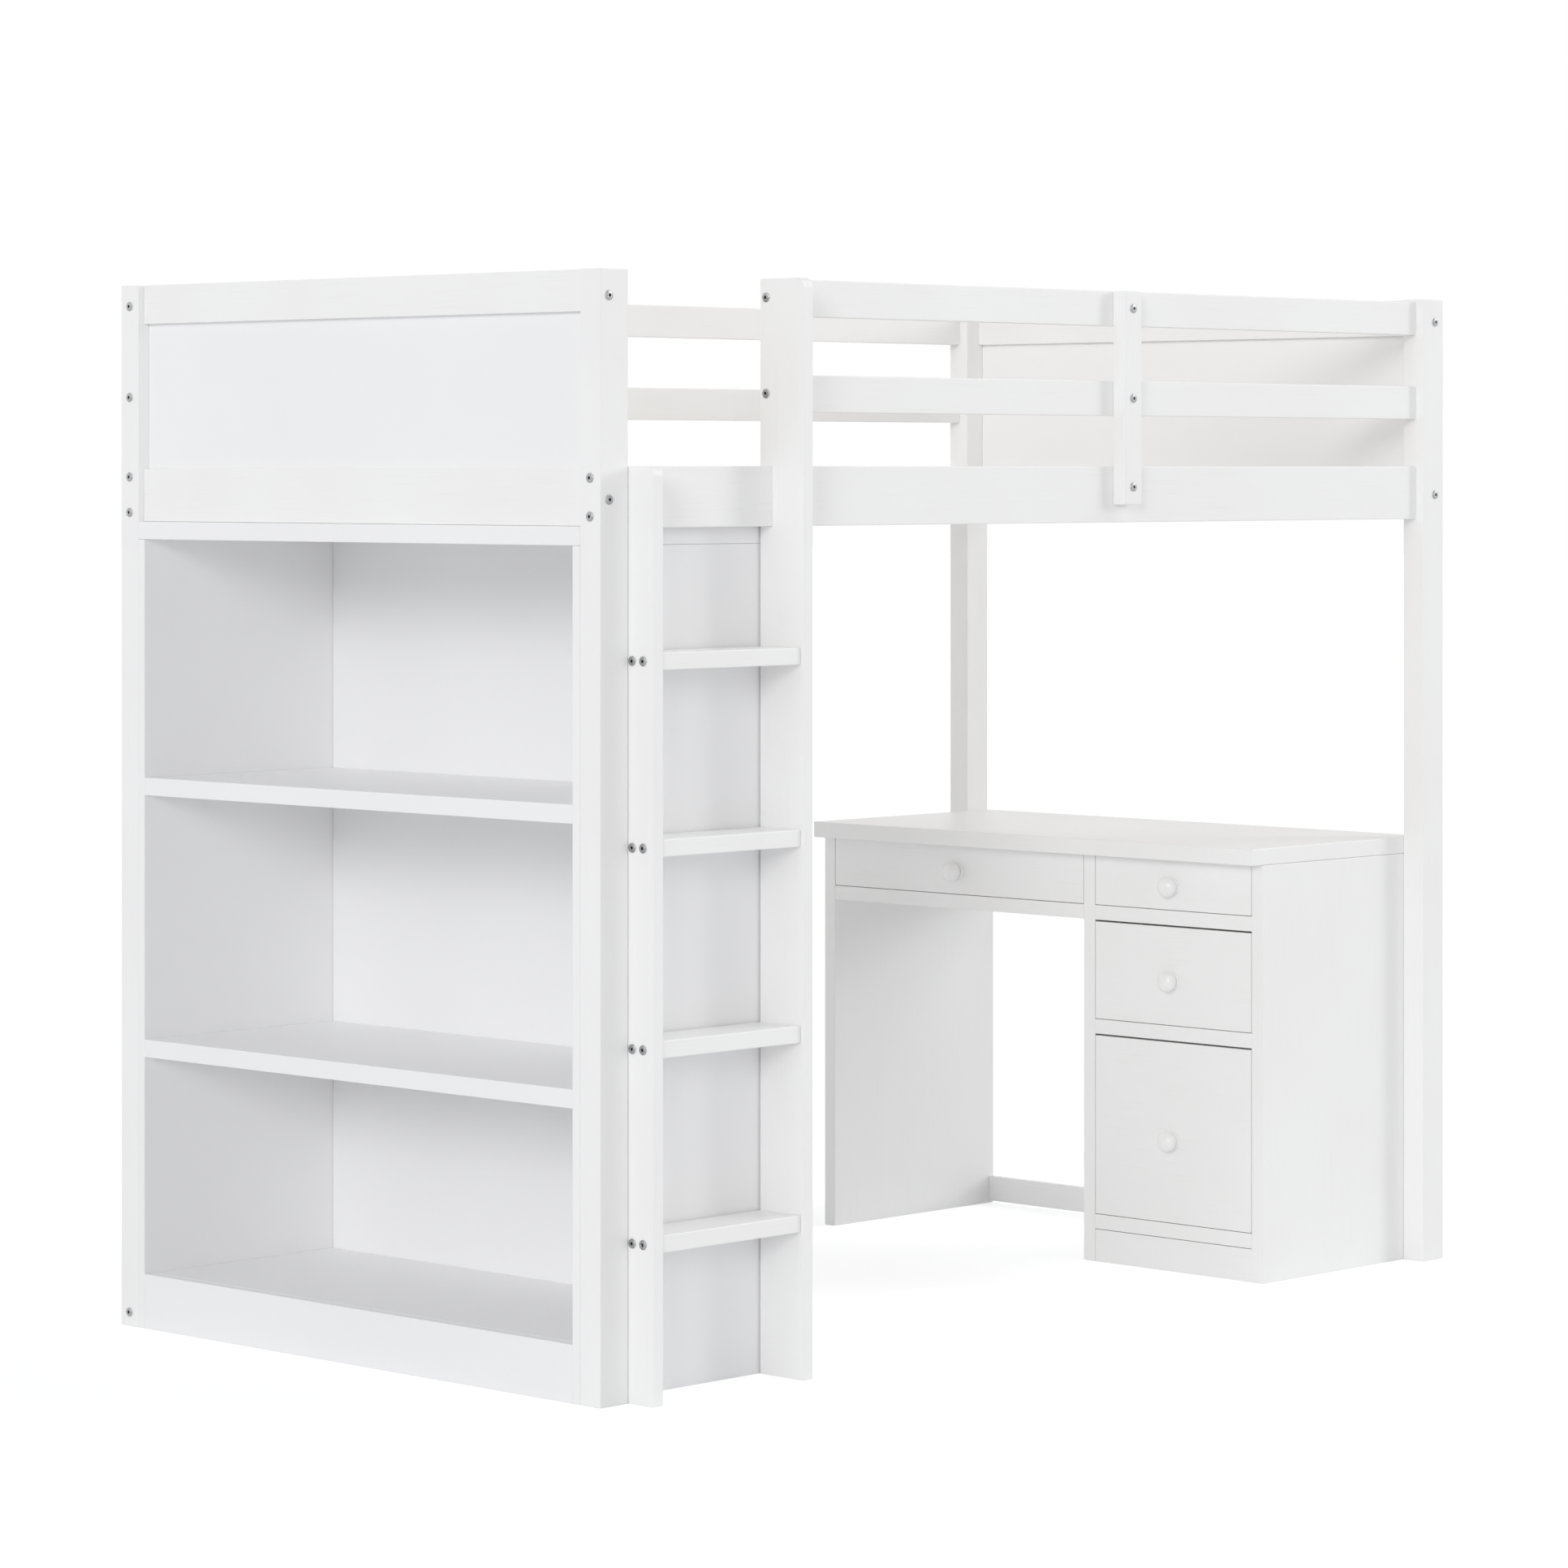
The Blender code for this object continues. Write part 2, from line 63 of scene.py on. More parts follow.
# Room and lights: turn, height and spread in degrees, and strength
ROOM_STRENGTH = 0.36
BROAD_LIGHTS = {
    "key_light": (30, 15, 16, 0.72),
    "end_light": (8, 25, 30, 0.47),
    "far_end_light": (150, 35, 40, 0.70),
    "far_end_low_light": (143, 13, 16, 0.50),
    "wall_side_light": (-50, 25, 60, 0.24),
    "back_light": (-105, 25, 60, 0.16),
}
TONE_GAMMA = 1.2
FLOOR_GLOW = 0.48
FLOOR_HALF = 60.0
FLOOR_DROP = 0.0002

# Bolts: 14.6 mm heads with a 5 mm hexagon socket
BOLT_SIDES = 48
BOLT_R = 0.0073
BOLT_H = 0.0022
BOLT_SIDE_H = 0.0007
SOCKET_R = 0.0027
SOCKET_MOUTH_R = 0.00351
SOCKET_FLOOR = 0.0002
BOLT_LIFT = 0.00005
SIDE_RAIL_BOLT_OFFSET = 0.028
HEAD_BOLT_IN = 0.018
FOOT_BOLT_IN = 0.0233
END_TOP_BOLT_DROP = 0.008
END_LOW_BOLT_DROP = 0.003
GUARD_POST_LOW_BOLT_RISE = 0.012
RUNG_BOLTS_IN = (0.0208, 0.0429)
RUNG_COUNT = 4
FOOT_BOLT_Z = 0.022

# Knobs: the widest ring is at a share of the length, and the collar is a share of the head
KNOB_SIDES = 56
KNOB_RINGS = 14
KNOB_WIDEST = 0.527
COLLAR_SHARE = 0.884
COLLAR_T = 0.0035
COLLAR_ROUND = 0.0012
NECK_R = 0.0100

# Slats and their straps
SLAT_COUNT = 13
SLAT_W = 0.070
SLAT_T = 0.018
SLAT_ROUND = 0.003
STRAP_W = 0.024
STRAP_T = 0.0011
STRAP_SAG = 0.0016
STRAP_LIFT = 0.0001
STRAP_STEPS = 16
STRAP_IN = 0.130
STAPLE_R = 0.0005
STAPLE_W = 0.011

# Painted shade lining the drawers' rooms: a white strip left at the front, and how far the shade reaches
# past them
WHITE_STRIP = 0.0020
ROOM_REACH = 0.0008

# Drawer boxes
BOX_WALL = 0.010
BOX_FLOOR_T = 0.0035
BOX_FLOOR_RISE = 0.006
BOX_EDGE = 0.0008


# ---------------------------------------------------------------- materials

# A Mix node's sockets for colour: its share, its two colours, and what comes out
SHARE, FIRST, SECOND, BLEND = 0, 6, 7, 2


def linear(hex_colour):
    """An sRGB hex colour as linear RGBA."""
    channels = [int(hex_colour[i:i + 2], 16) / 255 for i in (0, 2, 4)]
    return (*[c / 12.92 if c <= 0.04045 else ((c + 0.055) / 1.055) ** 2.4 for c in channels], 1)


def add_node(tree, kind, inputs=None, **settings):
    """A node with its settings; an input is a number, a colour, or the socket that feeds it."""
    made = tree.nodes.new(kind)
    for name, value in settings.items():
        setattr(made, name, value)
    for key, value in (inputs or {}).items():
        if isinstance(value, bpy.types.NodeSocket):
            tree.links.new(value, made.inputs[key])
        else:
            made.inputs[key].default_value = value
    return made


def new_material(name):
    """An empty node material, its Principled shader and its Object coordinates."""
    made = bpy.data.materials.new(name)
    made.use_nodes = True
    tree = made.node_tree
    shader = tree.nodes["Principled BSDF"]
    place = add_node(tree, "ShaderNodeTexCoord").outputs["Object"]
    return made, tree, shader, place


def colour_by(tree, pattern, low, high, most, first, second):
    """The first colour, turning to the second by up to most as a pattern goes from low to high."""
    span = {"Value": pattern, "From Min": low, "From Max": high, "To Max": most}
    share = add_node(tree, "ShaderNodeMapRange", span).outputs[0]
    mixed = {SHARE: share, FIRST: first, SECOND: second}
    return add_node(tree, "ShaderNodeMix", mixed, data_type="RGBA").outputs[BLEND]


def roughen_by(tree, shader, pattern, low, high, start, end):
    """The shader's roughness goes from start to end as a pattern goes from low to high."""
    span = {"Value": pattern, "From Min": low, "From Max": high, "To Min": start, "To Max": end}
    tree.links.new(add_node(tree, "ShaderNodeMapRange", span).outputs[0], shader.inputs["Roughness"])


def edge_share(tree, width, sharpness):
    """0 on flat faces and up to 1 on corners: how far a bevelled normal leans from the true one."""
    round_normal = add_node(tree, "ShaderNodeBevel", {"Radius": width}, samples=4).outputs[0]
    true_normal = add_node(tree, "ShaderNodeNewGeometry").outputs["True Normal"]
    inputs = {0: round_normal, 1: true_normal}
    lean = add_node(tree, "ShaderNodeVectorMath", inputs, operation="DOT_PRODUCT").outputs["Value"]
    span = {"Value": lean, "From Min": 1.0, "From Max": 1.0 - sharpness}
    return add_node(tree, "ShaderNodeMapRange", span).outputs[0]


def sprayed_lacquer(name, grain):
    """Satin nitrocellulose lacquer sprayed on planed pine or beech.

    The eye gets a flat white with faint lines where the grain stands through it, the soft orange
    peel of a sprayed coat, some 4 mm across, and a painted highlight that lightens the rounded edges.
    The grain lines are 2.2 mm apart across the board, wider than real ones, so that they show.
    """
    made, tree, shader, place = new_material(name)
    stretch = [1 / 0.0022] * 3
    stretch[grain] = 1 / 0.12
    along = add_node(tree, "ShaderNodeMapping", {"Vector": place, "Scale": stretch}).outputs[0]
    lines = add_node(tree, "ShaderNodeTexNoise", {"Vector": along, "Scale": 1.0, "Detail": 3.0}).outputs[0]
    orange = {"Vector": place, "Scale": 260.0, "Detail": 1.0}
    peel = add_node(tree, "ShaderNodeTexNoise", orange).outputs[0]
    cloud = add_node(tree, "ShaderNodeTexNoise", {"Vector": place, "Scale": 5.0, "Detail": 2.0}).outputs[0]
    edge = edge_share(tree, 0.0014, 0.25)

    shade = colour_by(tree, cloud, 0.35, 0.65, 0.55, linear("FAFAFA"), linear("F6F5F4"))
    lined = colour_by(tree, lines, 0.58, 0.76, 0.34, shade, linear("EAE9E6"))
    # Painted highlight: the rounded edges are made a little lighter
    painted_edge_highlight = colour_by(tree, edge, 0.0, 1.0, 0.45, lined, linear("FCFBFA"))
    tree.links.new(painted_edge_highlight, shader.inputs["Base Color"])
    roughen_by(tree, shader, peel, 0.3, 0.7, 0.31, 0.42)
    grain_bump = add_node(tree, "ShaderNodeBump", {"Height": lines, "Strength": 0.22, "Distance": 0.0003})
    peel_bump = {"Height": peel, "Strength": 0.08, "Distance": 0.0003, "Normal": grain_bump.outputs[0]}
    tree.links.new(add_node(tree, "ShaderNodeBump", peel_bump).outputs[0], shader.inputs["Normal"])
    shader.inputs["IOR"].default_value = 1.48
    return made


def inside_share(tree, place, low, high):
    """1 inside a box and 0 outside it.

    A point's distance from the box is the largest side of |place - middle| - half, and the change
    from 0 to 1 takes 0.8 mm.
    """
    middle, half = (low + high) / 2, (high - low) / 2
    from_middle = {0: place, 1: tuple(middle)}
    away = add_node(tree, "ShaderNodeVectorMath", from_middle, operation="SUBTRACT").outputs[0]
    away = add_node(tree, "ShaderNodeVectorMath", {0: away}, operation="ABSOLUTE").outputs[0]
    past = {0: away, 1: tuple(half)}
    past = add_node(tree, "ShaderNodeVectorMath", past, operation="SUBTRACT").outputs[0]
    sides = add_node(tree, "ShaderNodeSeparateXYZ", {0: past}).outputs
    widest = add_node(tree, "ShaderNodeMath", {0: sides[0], 1: sides[1]}, operation="MAXIMUM").outputs[0]
    widest = add_node(tree, "ShaderNodeMath", {0: widest, 1: sides[2]}, operation="MAXIMUM").outputs[0]
    span = {"Value": widest, "From Min": 0.0004, "From Max": -0.0004}
    return add_node(tree, "ShaderNodeMapRange", span).outputs[0]


def paint_shade_in_rooms(material, rooms):
    """Paints shade on a lacquered board: grey on the faces that line the drawers' rooms, so that the gaps
    round the drawers look dark.
    """
    tree = material.node_tree
    shader = tree.nodes["Principled BSDF"]
    place = add_node(tree, "ShaderNodeTexCoord").outputs["Object"]
    colour = shader.inputs["Base Color"].links[0].from_socket
    for low, high in rooms:
        # Painted shade: the faces inside each room turn grey, so the gaps round the drawers look dark
        room_shade = {SHARE: inside_share(tree, place, low, high), FIRST: colour, SECOND: linear("A6A6A4")}
        colour = add_node(tree, "ShaderNodeMix", room_shade, data_type="RGBA").outputs[BLEND]
    tree.links.new(colour, shader.inputs["Base Color"])
    return material


def drawer_rooms():
    """The spaces that the drawers slide in, behind a white strip at the carcass's front: where painted shade
    goes.
    """
    ceiling_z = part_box("desk_top")[0].z
    rooms = []
    for across, under, behind in (("pedestal_shelf_upper", "kick_board", "pedestal_back"),
                                  ("wide_drawer_shelf", "wide_drawer_shelf", "desk_back_apron")):
        low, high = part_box(across)
        floor_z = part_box(under)[1].z
        back_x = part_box(behind)[0].x
        rooms.append((np.array([low.x + WHITE_STRIP, low.y - ROOM_REACH, floor_z - ROOM_REACH]),
                      np.array([back_x + ROOM_REACH, high.y + ROOM_REACH, ceiling_z + ROOM_REACH])))
    return rooms


def dipped_lacquer(name):
    """A turned beech knob dipped in lacquer: glossier and smoother than the sprayed boards.

    The eye gets a clear highlight, and the thick coat's slow sags, drawn 9 mm apart.
    """
    made, tree, shader, place = new_material(name)
    slow = {"Vector": place, "Scale": 1 / 0.009, "Detail": 1.0}
    sag = add_node(tree, "ShaderNodeTexNoise", slow).outputs[0]
    shade = colour_by(tree, sag, 0.3, 0.7, 1.0, linear("FBFBFB"), linear("F6F6F5"))
    tree.links.new(shade, shader.inputs["Base Color"])
    roughen_by(tree, shader, sag, 0.3, 0.7, 0.17, 0.25)
    waves = {"Height": sag, "Strength": 0.1, "Distance": 0.0004}
    tree.links.new(add_node(tree, "ShaderNodeBump", waves).outputs[0], shader.inputs["Normal"])
    shader.inputs["IOR"].default_value = 1.5
    return made


def coated_board(name, colour="F9F9FA", roughness=0.42):
    """White melamine paper on particle board: even, with the fine pearl of its press plate.

    The pearl's bumps are drawn 1.4 mm apart, twice their real size, so that they show.
    """
    made, tree, shader, place = new_material(name)
    pearl = {"Vector": place, "Scale": 1 / 0.0014, "Randomness": 1.0}
    bumps = add_node(tree, "ShaderNodeTexVoronoi", pearl, feature="SMOOTH_F1").outputs["Distance"]
    cloud = add_node(tree, "ShaderNodeTexNoise", {"Vector": place, "Scale": 3.0, "Detail": 3.0}).outputs[0]
    edge = edge_share(tree, 0.0010, 0.25)
    shade = colour_by(tree, cloud, 0.35, 0.65, 0.6, linear(colour), linear("F5F5F6"))
    # Painted highlight: the rounded edges are made a little lighter
    painted_edge_highlight = colour_by(tree, edge, 0.0, 1.0, 0.35, shade, linear("FCFCFC"))
    tree.links.new(painted_edge_highlight, shader.inputs["Base Color"])
    roughen_by(tree, shader, bumps, 0.0, 0.7, roughness - 0.04, roughness + 0.05)
    pressed = {"Height": bumps, "Strength": 0.10, "Distance": 0.0002}
    tree.links.new(add_node(tree, "ShaderNodeBump", pressed).outputs[0], shader.inputs["Normal"])
    shader.inputs["IOR"].default_value = 1.5
    return made


def planed_pine(name, grain):
    """Bare planed pine: pale late wood, darker rings stretched along the board, and a few knots.

    Rings stand about 5 mm apart across a flat-sawn face, and the pores are 0.6 mm wide.
    """
    made, tree, shader, place = new_material(name)
    stretch = [1.0] * 3
    stretch[grain] = 0.06
    along = add_node(tree, "ShaderNodeMapping", {"Vector": place, "Scale": stretch}).outputs[0]
    wander = add_node(tree, "ShaderNodeTexNoise", {"Vector": along, "Scale": 22.0, "Detail": 2.0}).outputs[0]
    rings = add_node(tree, "ShaderNodeMath", {0: wander, 1: 14.0}, operation="MULTIPLY").outputs[0]
    saw = add_node(tree, "ShaderNodeMath", {0: rings}, operation="FRACT").outputs[0]
    fine = {"Vector": along, "Scale": 1500.0, "Detail": 2.0}
    pores = add_node(tree, "ShaderNodeTexNoise", fine).outputs[0]
    knots = add_node(tree, "ShaderNodeTexVoronoi", {"Vector": place, "Scale": 4.0}).outputs["Distance"]
    sap = colour_by(tree, saw, 0.35, 1.0, 0.8, linear("EEE6D8"), linear("DFD0B7"))
    dotted = colour_by(tree, pores, 0.55, 0.8, 0.35, sap, linear("BFA47E"))
    knotted = colour_by(tree, knots, 0.035, 0.02, 0.9, dotted, linear("8C6038"))
    tree.links.new(knotted, shader.inputs["Base Color"])
    roughen_by(tree, shader, saw, 0.0, 1.0, 0.62, 0.5)
    fibre = {"Height": pores, "Strength": 0.25, "Distance": 0.0003}
    tree.links.new(add_node(tree, "ShaderNodeBump", fibre).outputs[0], shader.inputs["Normal"])
    return made


def zinc_plated_steel(name):
    """Bright zinc on turned steel: a fine tooth, 0.4 mm across, and cloudy patches of 2.4 mm."""
    made, tree, shader, place = new_material(name)
    patches = {"Vector": place, "Scale": 420.0, "Detail": 3.0}
    cloud = add_node(tree, "ShaderNodeTexNoise", patches).outputs[0]
    grit = {"Vector": place, "Scale": 2600.0, "Detail": 1.0}
    tooth = add_node(tree, "ShaderNodeTexNoise", grit).outputs[0]
    shade = colour_by(tree, cloud, 0.3, 0.7, 1.0, linear("ABABAB"), linear("838487"))
    tree.links.new(shade, shader.inputs["Base Color"])
    roughen_by(tree, shader, cloud, 0.3, 0.7, 0.24, 0.42)
    turned = {"Height": tooth, "Strength": 0.2, "Distance": 0.0001}
    tree.links.new(add_node(tree, "ShaderNodeBump", turned).outputs[0], shader.inputs["Normal"])
    shader.inputs["Metallic"].default_value = 1.0
    return made


def painted_shade_socket(name):
    """The inside of a hexagon socket: near black as painted shade in its recess, in 1 mm patches, and dull.
    """
    made, tree, shader, place = new_material(name)
    oil = add_node(tree, "ShaderNodeTexNoise", {"Vector": place, "Scale": 900.0}).outputs[0]
    shade = colour_by(tree, oil, 0.3, 0.7, 1.0, linear("1C1C1D"), linear("343435"))
    tree.links.new(shade, shader.inputs["Base Color"])
    roughen_by(tree, shader, oil, 0.3, 0.7, 0.4, 0.65)
    shader.inputs["Metallic"].default_value = 1.0
    return made


def woven_strap(name):
    """Flat polyester webbing: ribs across the strap every 1.5 mm, crossed by the warp's threads.

    A wave's stripes repeat every pi / 10 of its scaled coordinate.
    """
    made, tree, shader, place = new_material(name)
    ribs = {"Vector": place, "Scale": 2 * math.pi / 0.0015 / 20}
    weft = add_node(tree, "ShaderNodeTexWave", ribs, bands_direction="X", wave_profile="SIN").outputs[1]
    warp = add_node(tree, "ShaderNodeTexWave", ribs, bands_direction="Y", wave_profile="SIN").outputs[1]
    weave = add_node(tree, "ShaderNodeMath", {0: weft, 1: warp}, operation="MULTIPLY").outputs[0]
    threads = {SHARE: weave, FIRST: linear("C9C6BE"), SECOND: linear("ECEAE4")}
    shade = add_node(tree, "ShaderNodeMix", threads, data_type="RGBA").outputs[BLEND]
    tree.links.new(shade, shader.inputs["Base Color"])
    ridges = {"Height": weave, "Strength": 0.6, "Distance": 0.0003}
    tree.links.new(add_node(tree, "ShaderNodeBump", ridges).outputs[0], shader.inputs["Normal"])
    shader.inputs["Roughness"].default_value = 0.85
    return made


LACQUER = [sprayed_lacquer(f"sprayed_lacquer_{axis}", i) for i, axis in enumerate("xyz")]
# The desk's carcass lacquer, with painted shade on the faces that line the drawers' rooms
CARCASS = [paint_shade_in_rooms(sprayed_lacquer(f"carcass_lacquer_{axis}", i), drawer_rooms())
           for i, axis in enumerate("xyz")]
BOARD = coated_board("melamine_board")
LINING = coated_board("drawer_melamine", "F0F0F2", 0.5)
KNOB = dipped_lacquer("dipped_knob_lacquer")
PINE = [planed_pine(f"planed_pine_{axis}", i) for i, axis in enumerate("xyz")]
STEEL = zinc_plated_steel("zinc_plated_steel")
SOCKET_SHADE = painted_shade_socket("painted_shade_socket")
WEBBING = woven_strap("polyester_webbing")


# ---------------------------------------------------------------- surfaces

def piece_from_grid(name, grid, materials, body):
    """A closed piece from a grid of points: each row is a ring, and the end rows get one face each.

    grid may hold several such tubes, as an array of tubes by rows by columns by 3.
    """
    tubes = grid if grid.ndim == 4 else grid[None]
    count, rows, columns, _ = tubes.shape
    index = np.arange(count * rows * columns).reshape(count, rows, columns)
    right = np.roll(index, -1, axis=2)
    quads = np.stack([index[:, :-1], right[:, :-1], right[:, 1:], index[:, 1:]], axis=-1)
    ends = index[:, 0, ::-1].tolist() + index[:, -1].tolist()
    mesh = bpy.data.meshes.new(name)
    mesh.from_pydata(tubes.reshape(-1, 3).tolist(), [], quads.reshape(-1, 4).tolist() + ends)
    for material in materials:
        mesh.materials.append(material)
    shape = bmesh.new()
    shape.from_mesh(mesh)
    bmesh.ops.remove_doubles(shape, verts=shape.verts, dist=1e-6)
    bmesh.ops.recalc_face_normals(shape, faces=shape.faces)
    shape.to_mesh(mesh)
    shape.free()
    mesh.shade_smooth()
    mesh.set_sharp_from_angle(angle=math.radians(35))
    piece = bpy.data.objects.new(name, mesh)
    bpy.context.scene.collection.objects.link(piece)
    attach(piece, body)
    return piece


def turned_grid(profile, centre, outward, sides, turn=0.0):
    """A profile of (radius, height) carried round an axis.

    A radius may be a row of one value a side, for a ring that isn't round.
    """
    outward = np.asarray(outward, float)
    across = Z if abs(outward[2]) < 0.5 else X
    beside = np.cross(outward, across)
    angles = turn + np.arange(sides) * 2 * math.pi / sides
    spokes = np.outer(np.cos(angles), across) + np.outer(np.sin(angles), beside)
    rings = [np.asarray(radius)[..., None] * spokes + height * outward for radius, height in profile]
    return np.asarray(centre, float) + np.stack(rings)


def board_grid(low, high, radius, steps=3):
    """A cuboid with all edges rounded: a rounded rectangle in X and Y, carried up Z.

    Near each end the ring's corners shrink from the radius to nothing, as a quarter circle does.
    """
    low, high = np.asarray(low, float), np.asarray(high, float)
    turns = np.linspace(0, math.pi / 2, steps + 1)
    corners = np.array([(1, 1), (-1, 1), (-1, -1), (1, -1)])
    middle, half = (low + high) / 2, (high - low) / 2 - radius
    angles = (turns[None] + np.arange(4)[:, None] * math.pi / 2).ravel()
    centres = np.repeat(corners * half[:2], steps + 1, axis=0)
    arcs = np.stack([np.cos(angles), np.sin(angles)], axis=1)
    sizes = radius * np.concatenate([np.sin(turns), np.cos(turns)])
    heights = np.concatenate([-half[2] - radius * np.cos(turns), half[2] + radius * np.sin(turns)])
    flat = centres[None] + sizes[:, None, None] * arcs[None]
    upright = np.broadcast_to(heights[:, None, None], (*flat.shape[:2], 1))
    return middle + np.concatenate([flat, upright], axis=2)


# ---------------------------------------------------------------- finishes of the CAD pieces

def grain_of(node):
    """The axis that a board's grain runs along: its longest side."""
    low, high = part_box(node)
    return int(np.argmax(high - low))


def finish_cad_nodes():
    """Each board's finish: bare pine, coated board, the desk's lacquer with painted shade in the drawers'
    rooms, or lacquer.
    """
    coated = ("headboard_panel", "footboard_panel", "bookcase_", "pedestal_back")
    carcass = ("desk_", "pedestal_shelf", "wide_drawer_shelf", "kick_board")
    for name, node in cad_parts.items():
        if name.startswith("slat_ledger"):
            material = PINE[grain_of(name)]
        elif name.startswith(coated):
            material = BOARD
        elif name.startswith(carcass):
            material = CARCASS[grain_of(name)]
        else:
            material = LACQUER[grain_of(name)]
        node.data.materials.clear()
        node.data.materials.append(material)


# ---------------------------------------------------------------- bolts

def bolt_head(name, place, outward, turn):
    """A button head: a short straight side, a quarter ellipse up to the flat, and a hexagon socket.

    A hexagon's radius is its inner radius over the cosine of the angle from its nearest side's
    middle. The faces deeper than the socket's chamfer get painted shade, near black.
    """
    angles = np.arange(BOLT_SIDES) * 2 * math.pi / BOLT_SIDES
    from_side = (angles + math.pi / 6) % (math.pi / 3) - math.pi / 6
    hexagon = SOCKET_R * math.cos(math.pi / 6) / np.cos(from_side)
    dome_r, dome_h = BOLT_R - SOCKET_MOUTH_R, BOLT_H - BOLT_SIDE_H
    bends = np.linspace(0, math.pi / 2, 8)
    profile = [(BOLT_R * 0.97, 0), (BOLT_R, BOLT_SIDE_H * 0.4)]
    profile += [(SOCKET_MOUTH_R + dome_r * math.cos(a), BOLT_SIDE_H + dome_h * math.sin(a)) for a in bends]
    profile += [(hexagon * 1.1, BOLT_H), (hexagon, BOLT_H * 0.9), (hexagon, SOCKET_FLOOR),
                (hexagon * 0.5, SOCKET_FLOOR)]
    start = np.asarray(place) + BOLT_LIFT * np.asarray(outward)
    grid = turned_grid(profile, start, outward, BOLT_SIDES, turn)
    head = piece_from_grid(name, grid, [STEEL, SOCKET_SHADE], BED)
    centres = np.empty(len(head.data.polygons) * 3, np.float32)
    head.data.polygons.foreach_get("center", centres)
    away = centres.reshape(-1, 3) - start
    heights, spread = away @ outward, np.linalg.norm(away, axis=1)
    # The socket's deep faces take the near-black painted shade
    inside = (heights < BOLT_H * 0.89) & (spread < SOCKET_R * 1.2) & (heights > SOCKET_FLOOR / 2)
    head.data.polygons.foreach_set("material_index", inside.astype(np.int32))
    return head


def middle_z(node):
    """The height of a node's middle."""
    low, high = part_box(node)
    return (low.z + high.z) / 2


def rail_heights(side):
    """Where the bolts of a side's rails stand: two in the side rail, and one in each guard rail."""
    side_rail = middle_z(f"side_rail_{side}")
    lower = [side_rail - SIDE_RAIL_BOLT_OFFSET, side_rail + SIDE_RAIL_BOLT_OFFSET]
    return lower, [middle_z(f"guard_rail_{side}_middle"), middle_z(f"guard_rail_{side}_top")]


def post_bolts():
    """Bolts through the posts: into the long rails from the bed's ends, and into its end boards."""
    places = []
    for side, facing in (("front", -Y), ("back", Y)):
        lower, upper = rail_heights(side)
        for end, outward in (("left", -X), ("right", X)):
            post = f"post_{side}_{end}"
            low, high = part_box(post)
            face_x = low.x if end == "left" else high.x
            held = lower if (side, end) == ("front", "left") else lower + upper
            places += [(post, (face_x, (low.y + high.y) / 2, z), outward) for z in held]
            if (side, end) == ("back", "left"):
                places.append((post, (face_x, (low.y + high.y) / 2, FOOT_BOLT_Z), outward))
            inset = HEAD_BOLT_IN if end == "left" else FOOT_BOLT_IN
            board = "headboard" if end == "left" else "footboard"
            face_y = low.y if side == "front" else high.y
            heights = (middle_z(f"{board}_top_rail") - END_TOP_BOLT_DROP,
                       middle_z(f"{board}_low_rail") - END_LOW_BOLT_DROP)
            places += [(post, (face_x - outward[0] * inset, face_y, z), facing) for z in heights]
    return places


def ladder_bolts():
    """Bolts through the stringers into the rungs, and into the guard rails' ends."""
    places = []
    for end, outward in (("left", -X), ("right", X)):
        stringer = f"ladder_stringer_{end}"
        low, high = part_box(stringer)
        face_x = low.x if end == "left" else high.x
        for rung in range(1, RUNG_COUNT + 1):
            z = middle_z(f"ladder_rung_{rung}")
            places += [(stringer, (face_x, low.y + inset, z), outward) for inset in RUNG_BOLTS_IN]
    low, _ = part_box("ladder_stringer_right")
    rail_low, rail_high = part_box("guard_rail_front_top")
    rail_y = (rail_low.y + rail_high.y) / 2
    for z in rail_heights("front")[1]:
        places.append(("ladder_stringer_right", (low.x, rail_y, z), -X))
    return places


def guard_post_bolts():
    """Three bolts through the guard post, one in each rail behind it."""
    low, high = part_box("guard_post")
    upper = rail_heights("front")[1]
    heights = [middle_z("side_rail_front") + GUARD_POST_LOW_BOLT_RISE, *upper]
    return [("guard_post", ((low.x + high.x) / 2, low.y, z), -Y) for z in heights]


def bolts():
    """All bolt heads, each with its socket turned as it came to rest."""
    places = post_bolts() + ladder_bolts() + guard_post_bolts()
    for number, (holder, place, outward) in enumerate(places, 1):
        turn = math.radians(number * 37 % 60)
        bolt_head(f"bolt_{number:02d}_{holder}", place, outward, turn)


# ---------------------------------------------------------------- drawers

def knob(drawer):
    """A turned knob: a domed head on a neck, both quarter ellipses, and a flat collar."""
    low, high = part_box(f"{drawer}_knob")
    head_r = (high.y - low.y) / 2
    length = high.x - low.x
    widest = length * KNOB_WIDEST
    turns = np.linspace(0, math.pi / 2, KNOB_RINGS)[1:]
    dome = [(head_r * math.sin(a), widest + (length - widest) * math.cos(a)) for a in turns]
    cheek_h = widest - COLLAR_T - COLLAR_ROUND
    cheek = [(NECK_R + (head_r - NECK_R) * math.cos(a), widest - cheek_h * math.sin(a)) for a in turns]
    collar_r = head_r * COLLAR_SHARE
    collar = [(NECK_R, COLLAR_T), (collar_r - COLLAR_ROUND, COLLAR_T)]
    bends = np.linspace(0, math.pi / 2, 5)[1:]
    collar += [(collar_r - COLLAR_ROUND * (1 - math.sin(a)), COLLAR_T - COLLAR_ROUND * (1 - math.cos(a)))
               for a in bends]
    profile = [(head_r * 0.02, length)] + dome + cheek + collar + [(collar_r, 0)]
    place = (high.x, (low.y + high.y) / 2, (low.z + high.z) / 2)
    grid = turned_grid(profile, place, -X, KNOB_SIDES)
    piece = piece_from_grid(f"{drawer}_turned_knob", grid, [KNOB], drawer)
    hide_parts(f"{drawer}_knob")


